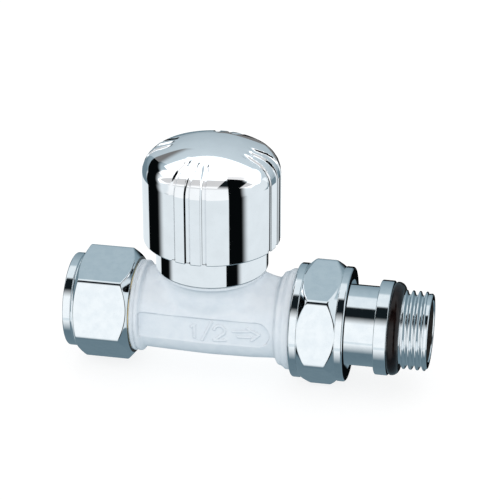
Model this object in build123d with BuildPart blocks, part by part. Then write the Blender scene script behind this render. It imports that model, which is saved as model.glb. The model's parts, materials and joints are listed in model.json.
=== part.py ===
from build123d import *

import os
from math import cos, radians, sin, sqrt

# Half-inch straight lockshield radiator valve: cast body, regulating insert, push-on cap,
# compression inlet for a copper pipe and union outlet with a self-sealing radiator tail.
# The origin is the pipe stop on the flow axis; +X runs to the radiator and +Z up the spindle.
# Lengths are in millimetres, "_x" values are stations along the flow axis, "_z" values are levels.

os.makedirs("parts", exist_ok=True)

# Driving dimensions
spindle_x = 22.0  # spindle axis from the pipe stop
pipe_socket_r = 7.6  # clears a 15 mm copper pipe
tail_bore_r = 7.5
inlet_thread_r, inlet_pitch = 12.0, 1.337  # 24 mm, 19 threads per inch
union_thread_r, union_pitch = 13.22, 1.814  # G3/4
tail_thread_r, tail_pitch = 10.4775, 1.814  # G1/2
inlet_nut_af, union_nut_af = 27.0, 30.0  # across flats
cap_r = 18.1
cap_bottom_z = 22.35
thread_play = 0.1  # radial play of each nut on its male thread
free_gap = 0.3  # between faces that pass each other freely

# Whitworth form: a flat crest, a flank, a flat root and a flank, as fractions of the pitch
crest_end, root_start, root_end = 1 / 6, 1 / 2, 2 / 3
thread_depth = 0.64

flow_section = Plane.XZ
spindle_axis = Axis((spindle_x, 0, 0), (0, 0, 1))


def level(z):
    """Horizontal plane at height z, centred on the spindle."""
    return Plane(origin=(spindle_x, 0, z))


def station(x):
    """Plane square to the flow axis: its own x runs along +Y and its own y along +Z."""
    return Plane(origin=(x, 0, 0), x_dir=(0, 1, 0), z_dir=(1, 0, 0))


def radial_section(angle):
    """Plane through the spindle axis: its own x is the radius at this angle, its own y the height."""
    outward = (cos(radians(angle)), sin(radians(angle)), 0)
    sideways = (sin(radians(angle)), -cos(radians(angle)), 0)
    return Plane(origin=(spindle_x, 0, 0), x_dir=outward, z_dir=sideways)


def thread_points(start_x, end_x, major_r, pitch):
    """Outline of a male thread as a row of ridges between two stations."""
    root_r = major_r - thread_depth * pitch
    points = []
    x = start_x
    while x + pitch < end_x:
        points.append((x, major_r))
        points.append((x + crest_end * pitch, major_r))
        points.append((x + root_start * pitch, root_r))
        points.append((x + root_end * pitch, root_r))
        x += pitch
    points.append((x, major_r))
    points.append((end_x, major_r))
    return points


spindle_section = radial_section(0)

# ---------------------------------------------------------------- valve body
inlet_end_x, inlet_face_x = -9.5, 1.6  # male inlet stub
thread_lead = 0.9
bead_r, bead_split_x, bead_split_r, bead_end_x = 12.3, 2.6, 11.9, 3.8
barrel_start_r, barrel_r, barrel_end_r = 10.9, 11.45, 10.75
step_x, step_r, shoulder_x, shoulder_r = 41.3, 12.7, 43.2, 13.6
union_face_x, outlet_end_x = 44.9, 54.0
boss_r, boss_foot_z, boss_fillet = 10.6, 4.2, 2.4
lip_r, lip_bottom_z, lip_top_z, flare_z = 14.5, 13.4, 14.4, 8.0

mouth_r, mouth_end_x = 9.8, -6.5  # cone that takes the inlet seal
passage_r, passage_end_x = 6.0, 8.0
gallery_r, low_gallery_z, high_gallery_z = 4.0, -5.0, 5.2
low_gallery_start_x, low_gallery_end_x = 6.0, 26.5
outlet_passage_x, nose_socket_x, nose_socket_r = 38.0, 50.0, 9.6
chamber_r, chamber_floor_z, bonnet_seat_z = 8.5, 1.0, 9.6
port_r, seat_r, seat_z = 3.8, 5.4, 2.0
bonnet_bore_r = 9.95

panel_floor_y, panel_half_height, panel_z = 10.45, 3.55, -0.35
panel_start_x, panel_end_x = bead_end_x, 39.4
mark_height, mark_stroke = 0.4, 0.65
mark_low_z, mark_high_z = -2.6, 1.4
one_x, one_serif = 19.3, 0.85
slash_low_x, slash_high_x, slash_drop = 21.5, 24.0, 0.5
two_x, two_half = 26.1, 1.45
arrow_start_x, arrow_neck_x, arrow_tip_x = 30.0, 34.2, 36.6
arrow_gap, arrow_arm = 0.85, 1.75

with BuildPart() as valve_body:
    # Barrel, beads and both threaded stubs
    with BuildSketch(flow_section):
        with BuildLine():
            inlet_side = Polyline(
                (inlet_end_x, 0),
                (inlet_end_x, inlet_thread_r - thread_lead),
                *thread_points(inlet_end_x + thread_lead, inlet_face_x, inlet_thread_r, inlet_pitch),
                (inlet_face_x, bead_r),
                (bead_split_x - (bead_r - bead_split_r), bead_r),
                (bead_split_x, bead_split_r),
                (bead_split_x + (bead_r - bead_split_r), bead_r),
                (bead_end_x, bead_r),
                (bead_end_x, barrel_start_r),
            )
            barrel = ThreePointArc(inlet_side @ 1, (spindle_x, barrel_r), (step_x, barrel_end_r))
            outlet_side = Polyline(
                barrel @ 1,
                (step_x, step_r),
                (shoulder_x, shoulder_r),
                (union_face_x, shoulder_r),
                *thread_points(union_face_x, outlet_end_x - thread_lead, union_thread_r, union_pitch),
                (outlet_end_x, union_thread_r - thread_lead),
                (outlet_end_x, 0),
            )
            Line(outlet_side @ 1, inlet_side @ 0)
        make_face()
    revolve(axis=Axis.X)
    # Flat panel sunk in the front of the barrel, open to the bead and rounded at the outlet end
    panel_top_z, panel_low_z = panel_z + panel_half_height, panel_z - panel_half_height
    with BuildSketch(Plane.XZ.offset(panel_floor_y)):
        with BuildLine():
            top = Line((panel_start_x, panel_top_z), (panel_end_x - panel_half_height, panel_top_z))
            nose = ThreePointArc(
                top @ 1, (panel_end_x, panel_z), (panel_end_x - panel_half_height, panel_low_z)
            )
            Polyline(nose @ 1, (panel_start_x, panel_low_z), (panel_start_x, panel_top_z))
        make_face()
    extrude(amount=2 * (bead_r - panel_floor_y), mode=Mode.SUBTRACT)
    # Raised marks on the panel: the nominal size and an open flow arrow
    bowl_z = mark_high_z - two_half
    with BuildSketch(Plane.XZ.offset(panel_floor_y)):
        with BuildLine():
            Polyline(
                (one_x - one_serif, mark_high_z - one_serif), (one_x, mark_high_z), (one_x, mark_low_z)
            )
            Line((slash_low_x, mark_low_z - slash_drop), (slash_high_x, mark_high_z + slash_drop))
            bowl = ThreePointArc((two_x - two_half, bowl_z), (two_x, mark_high_z), (two_x + two_half, bowl_z))
            Polyline(bowl @ 1, (two_x - two_half, mark_low_z), (two_x + two_half, mark_low_z))
            for side in (-1, 1):
                Line(
                    (arrow_start_x, panel_z + side * arrow_gap),
                    (arrow_neck_x, panel_z + side * arrow_gap),
                )
                Line(
                    (arrow_tip_x - 2 * arrow_arm, panel_z + side * arrow_arm),
                    (arrow_tip_x, panel_z),
                )
        trace(line_width=mark_stroke)
    extrude(amount=mark_height)
    # Boss that carries the regulating insert, blended into the barrel and flared to a thin lip
    barrel_edges = valve_body.edges()
    with BuildSketch(level(boss_foot_z)):
        Circle(boss_r)
    extrude(amount=lip_top_z - boss_foot_z)
    fillet((valve_body.edges() - barrel_edges).sort_by(Axis.Z)[:-1], radius=boss_fillet)
    with BuildSketch(spindle_section):
        with BuildLine():
            stem_side = Polyline((bonnet_bore_r, flare_z), (boss_r, flare_z))
            flare = TangentArc(stem_side @ 1, (lip_r, lip_bottom_z), tangent=(0, 1))
            Polyline(flare @ 1, (lip_r, lip_top_z), (bonnet_bore_r, lip_top_z), (bonnet_bore_r, flare_z))
        make_face()
    revolve(axis=spindle_axis)
    # Inlet: seal cone, pipe socket and passage
    with BuildSketch(flow_section):
        with BuildLine():
            Polyline(
                (inlet_end_x, 0),
                (inlet_end_x, mouth_r),
                (mouth_end_x, pipe_socket_r),
                (0, pipe_socket_r),
                (0, passage_r),
                (passage_end_x, passage_r),
                (passage_end_x, 0),
                close=True,
            )
        make_face()
    revolve(axis=Axis.X, mode=Mode.SUBTRACT)
    # Low gallery under the seat, then the port up through the seat
    with BuildSketch(station(low_gallery_start_x)):
        with Locations((0, low_gallery_z)):
            Circle(gallery_r)
    extrude(amount=low_gallery_end_x - low_gallery_start_x, mode=Mode.SUBTRACT)
    with BuildSketch(level(low_gallery_z)):
        Circle(port_r)
    extrude(amount=seat_z - low_gallery_z, mode=Mode.SUBTRACT)
    # Chamber round the raised seat, with the bonnet's bore above it
    with BuildSketch(level(chamber_floor_z)):
        Circle(chamber_r)
        Circle(seat_r, mode=Mode.SUBTRACT)
    extrude(amount=seat_z - chamber_floor_z, mode=Mode.SUBTRACT)
    with BuildSketch(level(seat_z)):
        Circle(chamber_r)
    extrude(amount=bonnet_seat_z - seat_z, mode=Mode.SUBTRACT)
    with BuildSketch(level(bonnet_seat_z)):
        Circle(bonnet_bore_r)
    extrude(amount=2 * (lip_top_z - bonnet_seat_z), mode=Mode.SUBTRACT)
    # High gallery out of the chamber, then the outlet passage and the socket for the tail's nose
    with BuildSketch(station(spindle_x)):
        with Locations((0, high_gallery_z)):
            Circle(gallery_r)
    extrude(amount=outlet_passage_x - spindle_x, mode=Mode.SUBTRACT)
    with BuildSketch(station(outlet_passage_x)):
        Circle(tail_bore_r)
    extrude(amount=outlet_end_x - outlet_passage_x, mode=Mode.SUBTRACT)
    with BuildSketch(station(nose_socket_x)):
        Circle(nose_socket_r)
    extrude(amount=outlet_end_x - nose_socket_x, mode=Mode.SUBTRACT)
valve_body.part.label = "valve_body"
export_step(valve_body.part, "parts/valve_body.step")

# ------------------------------------------------------------ regulating insert
bonnet_play = 0.05
bonnet_r = bonnet_bore_r - bonnet_play
collar_base_z = 15.9
bonnet_hex_af, bonnet_hex_top_z = 21.0, 20.0
bonnet_skirt_r, bonnet_skirt_z = 6.8, 12.3  # room for the rising plug
neck_r, neck_top_z = 8.0, 29.0
stem_r, stem_play, spindle_thread_r, spindle_thread_play = 4.0, 0.1, 5.0, 0.08
spindle_thread_room_z = 22.8
gland_bore_r, gland_floor_z = 6.0, 24.0
bonnet_groove_low_z, bonnet_groove_high_z, bonnet_groove_r = 11.8, 13.6, 8.3

with BuildPart() as bonnet:
    with BuildSketch(spindle_section):
        with BuildLine():
            Polyline(
                (bonnet_skirt_r, bonnet_seat_z),
                (bonnet_r, bonnet_seat_z),
                (bonnet_r, bonnet_groove_low_z),
                (bonnet_groove_r, bonnet_groove_low_z),
                (bonnet_groove_r, bonnet_groove_high_z),
                (bonnet_r, bonnet_groove_high_z),
                (bonnet_r, collar_base_z),
                (neck_r, collar_base_z),
                (neck_r, neck_top_z),
                (gland_bore_r, neck_top_z),
                (gland_bore_r, gland_floor_z),
                (stem_r + stem_play, gland_floor_z),
                (stem_r + stem_play, spindle_thread_room_z),
                (spindle_thread_r + spindle_thread_play, spindle_thread_room_z),
                (spindle_thread_r + spindle_thread_play, bonnet_skirt_z),
                (bonnet_skirt_r, bonnet_skirt_z),
                close=True,
            )
        make_face()
    revolve(axis=spindle_axis)
    with BuildSketch(level(collar_base_z)):
        RegularPolygon(bonnet_hex_af / 2, 6, major_radius=False)
        Circle(neck_r, mode=Mode.SUBTRACT)
    extrude(amount=bonnet_hex_top_z - collar_base_z)
bonnet.part.label = "bonnet"
export_step(bonnet.part, "parts/bonnet.step")

bonnet_oring_section = 0.78
with BuildPart() as bonnet_oring:
    with BuildSketch(spindle_section):
        with Locations((bonnet_r - bonnet_oring_section, (bonnet_groove_low_z + bonnet_groove_high_z) / 2)):
            Circle(bonnet_oring_section)
    revolve(axis=spindle_axis)
bonnet_oring.part.label = "bonnet_oring"
export_step(bonnet_oring.part, "parts/bonnet_oring.step")

packing_top_z = 25.6
with BuildPart() as packing_ring:
    with BuildSketch(level(gland_floor_z)):
        Circle(gland_bore_r - stem_play)
        Circle(stem_r + stem_play, mode=Mode.SUBTRACT)
    extrude(amount=packing_top_z - gland_floor_z)
packing_ring.part.label = "packing_ring"
export_step(packing_ring.part, "parts/packing_ring.step")

stem_oring_section = 0.9
with BuildPart() as spindle_oring:
    with BuildSketch(spindle_section):
        with Locations(((stem_r + gland_bore_r) / 2, packing_top_z + stem_oring_section)):
            Circle(stem_oring_section)
    revolve(axis=spindle_axis)
spindle_oring.part.label = "spindle_oring"
export_step(spindle_oring.part, "parts/spindle_oring.step")

gland_foot_z, gland_top_z, gland_af = 27.5, 32.0, 14.0
with BuildPart() as gland_nut:
    with BuildSketch(level(gland_foot_z)):
        Circle(gland_bore_r - stem_play)
    extrude(amount=neck_top_z - gland_foot_z)
    with BuildSketch(level(neck_top_z)):
        RegularPolygon(gland_af / 2, 6, major_radius=False)
    extrude(amount=gland_top_z - neck_top_z)
    with BuildSketch(level(gland_foot_z)):
        Circle(stem_r + stem_play)
    extrude(amount=gland_top_z - gland_foot_z, mode=Mode.SUBTRACT)
gland_nut.part.label = "gland_nut"
export_step(gland_nut.part, "parts/gland_nut.step")

spindle_foot_r, spindle_foot_z, spindle_thread_z, spindle_thread_top_z = 2.6, 5.4, 8.6, 19.0
spindle_top_z, key_af, key_depth = 33.0, 5.0, 7.0
with BuildPart() as spindle:
    with BuildSketch(spindle_section):
        with BuildLine():
            Polyline(
                (0, spindle_foot_z),
                (spindle_foot_r, spindle_foot_z),
                (spindle_foot_r, spindle_thread_z),
                (spindle_thread_r, spindle_thread_z),
                (spindle_thread_r, spindle_thread_top_z),
                (stem_r, spindle_thread_top_z),
                (stem_r, spindle_top_z),
                (0, spindle_top_z),
                close=True,
            )
        make_face()
    revolve(axis=spindle_axis)
    with BuildSketch(level(spindle_top_z)):
        RegularPolygon(key_af / 2, 6, major_radius=False)
    extrude(amount=-key_depth, mode=Mode.SUBTRACT)
spindle.part.label = "spindle"
export_step(spindle.part, "parts/spindle.step")

washer_r, washer_top_z, washer_hole_r = 6.2, 4.0, 1.6
with BuildPart() as seat_washer:
    with BuildSketch(level(seat_z)):
        Circle(washer_r)
        Circle(washer_hole_r, mode=Mode.SUBTRACT)
    extrude(amount=washer_top_z - seat_z)
seat_washer.part.label = "seat_washer"
export_step(seat_washer.part, "parts/seat_washer.step")

plug_r, plug_flange_z, plug_hub_r, plug_top_z = 6.4, 6.0, 4.4, 8.3
with BuildPart() as plug:
    with BuildSketch(level(washer_top_z)):
        Circle(plug_r)
    extrude(amount=plug_flange_z - washer_top_z)
    with BuildSketch(level(plug_flange_z)):
        Circle(plug_hub_r)
    extrude(amount=plug_top_z - plug_flange_z)
    with BuildSketch(level(plug_top_z)):
        Circle(spindle_foot_r + stem_play)
    extrude(amount=spindle_foot_z - stem_play - plug_top_z, mode=Mode.SUBTRACT)
    with BuildSketch(level(washer_top_z)):
        Circle(washer_hole_r)
    extrude(amount=spindle_foot_z - washer_top_z, mode=Mode.SUBTRACT)
plug.part.label = "plug"
export_step(plug.part, "parts/plug.step")

screw_head_r, screw_head_z, screw_r, screw_top_z = 2.9, 0.6, 1.5, 5.2
screw_slot_width, screw_slot_depth = 0.7, 0.6
with BuildPart() as washer_screw:
    with BuildSketch(level(screw_head_z)):
        Circle(screw_head_r)
    extrude(amount=seat_z - screw_head_z)
    with BuildSketch(level(seat_z)):
        Circle(screw_r)
    extrude(amount=screw_top_z - seat_z)
    with BuildSketch(level(screw_head_z)):
        Rectangle(2 * screw_head_r, screw_slot_width)
    extrude(amount=screw_slot_depth, mode=Mode.SUBTRACT)
washer_screw.part.label = "washer_screw"
export_step(washer_screw.part, "parts/washer_screw.step")

# ---------------------------------------------------------------- collar and cap
collar_r, collar_inner_r, collar_hole_r, collar_top_z, collar_edge = 14.9, 12.9, 10.1, 27.4, 0.4
grip_groove_z, grip_groove_width, grip_groove_r = 24.4, 1.3, 13.85
with BuildPart() as cover_collar:
    with BuildSketch(spindle_section):
        with BuildLine():
            Polyline(
                (collar_hole_r, lip_top_z),
                (collar_r - collar_edge, lip_top_z),
                (collar_r, lip_top_z + collar_edge),
                (collar_r, grip_groove_z),
                (grip_groove_r, grip_groove_z),
                (grip_groove_r, grip_groove_z + grip_groove_width),
                (collar_r, grip_groove_z + grip_groove_width),
                (collar_r, collar_top_z - collar_edge),
                (collar_r - collar_edge, collar_top_z),
                (collar_inner_r, collar_top_z),
                (collar_inner_r, collar_base_z),
                (collar_hole_r, collar_base_z),
                close=True,
            )
        make_face()
    revolve(axis=spindle_axis)
cover_collar.part.label = "cover_collar"
export_step(cover_collar.part, "parts/cover_collar.step")

grip_section = 0.52
with BuildPart() as cap_grip_ring:
    with BuildSketch(spindle_section):
        with Locations((collar_r - grip_section, grip_groove_z + grip_groove_width / 2)):
            Circle(grip_section)
    revolve(axis=spindle_axis)
cap_grip_ring.part.label = "cap_grip_ring"
export_step(cap_grip_ring.part, "parts/cap_grip_ring.step")

insert_play = 0.1
insert_inner_r = collar_r + insert_play
cap_wall = 1.5
insert_r = cap_r - cap_wall - free_gap
insert_bottom_z, web_z, web_top_z, web_edge = 23.0, 41.0, 42.5, 1.2
pivot_r, pivot_play = 2.1, 0.1
slot_count, slot_width, slot_height = 6, 1.6, 9.0
with BuildPart() as cap_insert:
    with BuildSketch(spindle_section):
        with BuildLine():
            Polyline(
                (insert_inner_r, insert_bottom_z),
                (insert_r, insert_bottom_z),
                (insert_r, web_top_z - web_edge),
                (insert_r - web_edge, web_top_z),
                (pivot_r + pivot_play, web_top_z),
                (pivot_r + pivot_play, web_z),
                (insert_inner_r, web_z),
                close=True,
            )
        make_face()
    revolve(axis=spindle_axis)
    # Slots that let the sleeve spring over the grip ring
    with BuildSketch(level(insert_bottom_z)):
        with PolarLocations((insert_inner_r + insert_r) / 2, slot_count):
            Rectangle(2 * (insert_r - insert_inner_r), slot_width)
    extrude(amount=slot_height, mode=Mode.SUBTRACT)
cap_insert.part.label = "cap_insert"
export_step(cap_insert.part, "parts/cap_insert.step")

# Outer form of the cap: straight skirt, round shoulder and a low crown with a small flat on top
crown_r, crown_centre_z, crown_slope, crown_flat_r = 32.9, 17.07, 26.3, 2.0
shoulder_r = (cap_r - crown_r * sin(radians(crown_slope))) / (1 - sin(radians(crown_slope)))
shoulder_centre_r = cap_r - shoulder_r
shoulder_centre_z = crown_centre_z + (crown_r - shoulder_r) * cos(radians(crown_slope))
cap_top_z = crown_centre_z + sqrt(crown_r**2 - crown_flat_r**2)
pivot_boss_r, pivot_boss_z, pivot_boss_top_z = 3.6, web_top_z + pivot_play, cap_top_z - cap_wall
flute_groups, flutes_per_group, flute_step, flute_arc, flute_depth = 4, 3, 13.6, 5.2, 0.45
first_group_angle = -98.3
flute_end_slope = 16.5


def crown_point(slope, inset=0):
    """Radius and height of the crown, or of a surface inset from it, where it slopes by this angle."""
    radius = crown_r - inset
    return (radius * sin(radians(slope)), crown_centre_z + radius * cos(radians(slope)))


def shoulder_point(slope, inset=0):
    """The same for the shoulder."""
    radius = shoulder_r - inset
    return (
        shoulder_centre_r + radius * sin(radians(slope)),
        shoulder_centre_z + radius * cos(radians(slope)),
    )


def crown_flat(inset=0):
    """Edge of the flat in the middle of the crown."""
    return (crown_flat_r, crown_centre_z + sqrt((crown_r - inset) ** 2 - crown_flat_r**2))


half_shoulder = (crown_slope + 90) / 2
half_crown = crown_slope / 2
with BuildPart() as cap_shell:
    # Outer form, then the hollow inside it
    for inset, mode in ((0, Mode.ADD), (cap_wall, Mode.SUBTRACT)):
        with BuildSketch(spindle_section):
            with BuildLine():
                skirt = Polyline((0, cap_bottom_z), (cap_r - inset, cap_bottom_z), shoulder_point(90, inset))
                shoulder = ThreePointArc(
                    skirt @ 1, shoulder_point(half_shoulder, inset), shoulder_point(crown_slope, inset)
                )
                crown = ThreePointArc(shoulder @ 1, crown_point(half_crown, inset), crown_flat(inset))
                Polyline(crown @ 1, (0, (crown @ 1).Y), (0, cap_bottom_z))
            make_face()
        revolve(axis=spindle_axis, mode=mode)
    with BuildSketch(level(pivot_boss_z)):
        Circle(pivot_boss_r)
    extrude(amount=pivot_boss_top_z - pivot_boss_z)
    with BuildSketch(level(pivot_boss_z)):
        Circle(screw_r)
    extrude(amount=pivot_boss_top_z - pivot_boss_z, mode=Mode.SUBTRACT)
    # Shallow flutes in groups, down the skirt and over the shoulder
    for group in range(flute_groups):
        for flute in range(flutes_per_group):
            middle = first_group_angle + group * 360 / flute_groups
            middle += (flute - (flutes_per_group - 1) / 2) * flute_step
            with BuildSketch(radial_section(middle - flute_arc / 2)):
                with BuildLine():
                    floor = Line((cap_r - flute_depth, cap_bottom_z), shoulder_point(90, flute_depth))
                    bend = ThreePointArc(
                        floor @ 1,
                        shoulder_point(half_shoulder, flute_depth),
                        shoulder_point(crown_slope, flute_depth),
                    )
                    rise = ThreePointArc(
                        bend @ 1,
                        crown_point((crown_slope + flute_end_slope) / 2, flute_depth),
                        crown_point(flute_end_slope, flute_depth),
                    )
                    Polyline(
                        rise @ 1,
                        crown_point(flute_end_slope, -flute_depth),
                        (cap_r + flute_depth, cap_top_z),
                        (cap_r + flute_depth, cap_bottom_z),
                        floor @ 0,
                    )
                make_face()
            revolve(axis=spindle_axis, revolution_arc=flute_arc, mode=Mode.SUBTRACT)
cap_shell.part.label = "cap_shell"
export_step(cap_shell.part, "parts/cap_shell.step")

pivot_head_r, pivot_head_z = 3.7, 39.2
with BuildPart() as cap_screw:
    with BuildSketch(level(pivot_head_z)):
        Circle(pivot_head_r)
    extrude(amount=web_z - pivot_play - pivot_head_z)
    with BuildSketch(level(web_z - pivot_play)):
        Circle(pivot_r)
    extrude(amount=pivot_boss_z - web_z + pivot_play)
    with BuildSketch(level(pivot_boss_z)):
        Circle(screw_r)
    extrude(amount=pivot_boss_top_z - pivot_boss_z)
    with BuildSketch(level(pivot_head_z)):
        Rectangle(2 * pivot_head_r, screw_slot_width)
    extrude(amount=screw_slot_depth, mode=Mode.SUBTRACT)
cap_screw.part.label = "cap_screw"
export_step(cap_screw.part, "parts/cap_screw.step")

# ------------------------------------------------------------ compression inlet
seal_end_x, olive_joint_x, olive_end_x = -7.0, -9.6, -13.7
seal_inner_r, seal_r, seal_tip_r = 7.7, 9.5, 7.87
with BuildPart() as cone_seal:
    with BuildSketch(flow_section):
        with BuildLine():
            Polyline(
                (olive_joint_x, seal_inner_r),
                (olive_joint_x, seal_r),
                (seal_end_x, seal_tip_r),
                (seal_end_x, seal_inner_r),
                close=True,
            )
        make_face()
    revolve(axis=Axis.X)
cone_seal.part.label = "cone_seal"
export_step(cone_seal.part, "parts/cone_seal.step")

olive_r, olive_tip_r, olive_cone_x, olive_slit = 9.6, 8.3, -12.3, 1.2
with BuildPart() as split_olive:
    with BuildSketch(flow_section):
        with BuildLine():
            Polyline(
                (olive_end_x, seal_inner_r),
                (olive_end_x, olive_tip_r),
                (olive_cone_x, olive_r),
                (olive_joint_x, olive_r),
                (olive_joint_x, seal_inner_r),
                close=True,
            )
        make_face()
    revolve(axis=Axis.X)
    with BuildSketch(station(olive_end_x)):
        with Locations((0, olive_r)):
            Rectangle(olive_slit, 2 * (olive_r - seal_inner_r) + olive_slit)
    extrude(amount=olive_joint_x - olive_end_x, mode=Mode.SUBTRACT)
split_olive.part.label = "split_olive"
export_step(split_olive.part, "parts/split_olive.step")

inlet_nut_end_x, inlet_nut_face_x = -16.4, 1.5
inlet_nut_collar_r, inlet_nut_collar_x, inlet_nut_neck_r, inlet_nut_hex_x = 12.6, -14.2, 12.1, -13.7
inlet_nut_rim_r, inlet_nut_face_r = 12.4, 13.0
inlet_nut_vertex_r = inlet_nut_af / 2 / cos(radians(30))
outer_chamfer, inner_chamfer, edge_break = 1.6, 2.2, 0.4
hex_turn = 13.9  # how the nut happens to stand when tight
nut_bore_r = seal_inner_r
nut_cone_start_x, nut_cone_end_x, nut_thread_x = -13.95, -12.5, -12.2
with BuildPart() as compression_nut:
    with BuildSketch(flow_section):
        with BuildLine():
            Polyline(
                (inlet_nut_end_x, nut_bore_r),
                (inlet_nut_end_x, inlet_nut_collar_r - edge_break),
                (inlet_nut_end_x + edge_break, inlet_nut_collar_r),
                (inlet_nut_collar_x, inlet_nut_collar_r),
                (inlet_nut_collar_x, inlet_nut_neck_r),
                (inlet_nut_hex_x, inlet_nut_neck_r),
                (inlet_nut_hex_x, inlet_nut_rim_r),
                (inlet_nut_hex_x + outer_chamfer, inlet_nut_vertex_r),
                (inlet_nut_face_x - inner_chamfer, inlet_nut_vertex_r),
                (inlet_nut_face_x, inlet_nut_face_r),
                (inlet_nut_face_x, inlet_thread_r + thread_play),
                (nut_thread_x, inlet_thread_r + thread_play),
                (nut_thread_x, olive_r + thread_play),
                (nut_cone_end_x, olive_r + thread_play),
                (nut_cone_start_x, olive_tip_r),
                (nut_cone_start_x, nut_bore_r),
                close=True,
            )
        make_face()
    revolve(axis=Axis.X)
    with BuildSketch(station(inlet_nut_end_x)):
        RegularPolygon(inlet_nut_af / 2, 6, major_radius=False, rotation=hex_turn)
    extrude(amount=inlet_nut_face_x - inlet_nut_end_x, mode=Mode.INTERSECT)
compression_nut.part.label = "compression_nut"
export_step(compression_nut.part, "parts/compression_nut.step")

# ---------------------------------------------------------------- union and tail
nose_x, nose_r, nose_groove_x, nose_groove_end_x, nose_groove_r = 50.6, 9.5, 51.4, 53.2, 8.0
head_x, head_end_x, head_r = 54.3, 57.0, 12.7
tube_r, flange_x, flange_end_x, flange_r = 10.75, 67.0, 70.4, 12.6
ring_seat_r, tail_thread_x, tail_thread_end_x, tail_end_x, tail_lead = 9.3, 73.5, 80.2, 80.8, 0.6
tail_mouth_r, tail_mouth_x = 8.2, 62.0
with BuildPart() as tailpiece:
    with BuildSketch(flow_section):
        with BuildLine():
            Polyline(
                (nose_x, tail_bore_r),
                (nose_x, nose_r - edge_break),
                (nose_x + edge_break, nose_r),
                (nose_groove_x, nose_r),
                (nose_groove_x, nose_groove_r),
                (nose_groove_end_x, nose_groove_r),
                (nose_groove_end_x, nose_r),
                (head_x, nose_r),
                (head_x, head_r),
                (head_end_x, head_r),
                (head_end_x, tube_r),
                (flange_x, tube_r),
                (flange_x, flange_r - edge_break),
                (flange_x + edge_break, flange_r),
                (flange_end_x - edge_break, flange_r),
                (flange_end_x, flange_r - edge_break),
                (flange_end_x, ring_seat_r),
                (tail_thread_x, ring_seat_r),
                *thread_points(tail_thread_x, tail_thread_end_x, tail_thread_r, tail_pitch),
                (tail_end_x, tail_thread_r - tail_lead),
                (tail_end_x, tail_mouth_r),
                (tail_mouth_x, tail_mouth_r),
                (tail_mouth_x, tail_bore_r),
                close=True,
            )
        make_face()
    revolve(axis=Axis.X)
tailpiece.part.label = "tailpiece"
export_step(tailpiece.part, "parts/tailpiece.step")

union_oring_section = 0.7
with BuildPart() as union_oring:
    with BuildSketch(flow_section):
        with Locations(((nose_groove_x + nose_groove_end_x) / 2, nose_r - union_oring_section)):
            Circle(union_oring_section)
    revolve(axis=Axis.X)
union_oring.part.label = "union_oring"
export_step(union_oring.part, "parts/union_oring.step")

tail_oring_r, tail_oring_round = 12.4, 0.9
with BuildPart() as tail_oring:
    with BuildSketch(flow_section):
        with BuildLine():
            Polyline(
                (flange_end_x + edge_break / 4, ring_seat_r + edge_break / 4),
                (flange_end_x + edge_break / 4, tail_oring_r),
                (tail_thread_x - edge_break / 4, tail_oring_r),
                (tail_thread_x - edge_break / 4, ring_seat_r + edge_break / 4),
                close=True,
            )
        make_face()
        fillet(vertices(), radius=tail_oring_round)
    revolve(axis=Axis.X)
tail_oring.part.label = "tail_oring"
export_step(tail_oring.part, "parts/tail_oring.step")

union_nut_x, union_nut_end_x = 45.05, 59.4
union_hex_x, union_hex_end_x = 47.2, 57.3
union_collar_r, union_collar_break = 15.3, 0.5
union_vertex_r = union_nut_af / 2 / cos(radians(30))
union_rim_r, union_chamfer, union_turn = 14.9, 2.6, 16.2
union_thread_end_x, head_room_r = 54.2, 12.9
shoulder_gap, tube_countersink = 0.05, 1.2
with BuildPart() as union_nut:
    # Hexagon with both ends chamfered
    with BuildSketch(station(union_hex_x)):
        RegularPolygon(union_nut_af / 2, 6, major_radius=False, rotation=union_turn)
    extrude(amount=union_hex_end_x - union_hex_x)
    with BuildSketch(flow_section):
        with BuildLine():
            Polyline(
                (union_hex_x, 0),
                (union_hex_x, union_rim_r),
                (union_hex_x + union_chamfer, union_vertex_r),
                (union_hex_end_x - union_chamfer, union_vertex_r),
                (union_hex_end_x, union_rim_r),
                (union_hex_end_x, 0),
                close=True,
            )
        make_face()
    revolve(axis=Axis.X, mode=Mode.INTERSECT)
    # Round collars at both ends
    with BuildSketch(flow_section):
        with BuildLine():
            Polyline(
                (union_nut_x, 0),
                (union_nut_x, union_collar_r - union_collar_break),
                (union_nut_x + union_collar_break, union_collar_r),
                (union_hex_x, union_collar_r),
                (union_hex_x, 0),
                close=True,
            )
        make_face()
        with BuildLine():
            Polyline(
                (union_hex_end_x, 0),
                (union_hex_end_x, union_collar_r),
                (union_nut_end_x - union_collar_break, union_collar_r),
                (union_nut_end_x, union_collar_r - union_collar_break),
                (union_nut_end_x, 0),
                close=True,
            )
        make_face()
    revolve(axis=Axis.X)
    # Thread bore, room for the tail's head, and the hole for its tube
    with BuildSketch(flow_section):
        with BuildLine():
            Polyline(
                (union_nut_x, 0),
                (union_nut_x, union_thread_r + thread_play),
                (union_thread_end_x, union_thread_r + thread_play),
                (union_thread_end_x, head_room_r),
                (head_end_x + shoulder_gap, head_room_r),
                (head_end_x + shoulder_gap, tube_r + thread_play),
                (union_nut_end_x - tube_countersink, tube_r + thread_play),
                (union_nut_end_x, tube_r + thread_play + tube_countersink),
                (union_nut_end_x, 0),
                close=True,
            )
        make_face()
    revolve(axis=Axis.X, mode=Mode.SUBTRACT)
union_nut.part.label = "union_nut"
export_step(union_nut.part, "parts/union_nut.step")
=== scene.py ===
import json
import math

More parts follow.
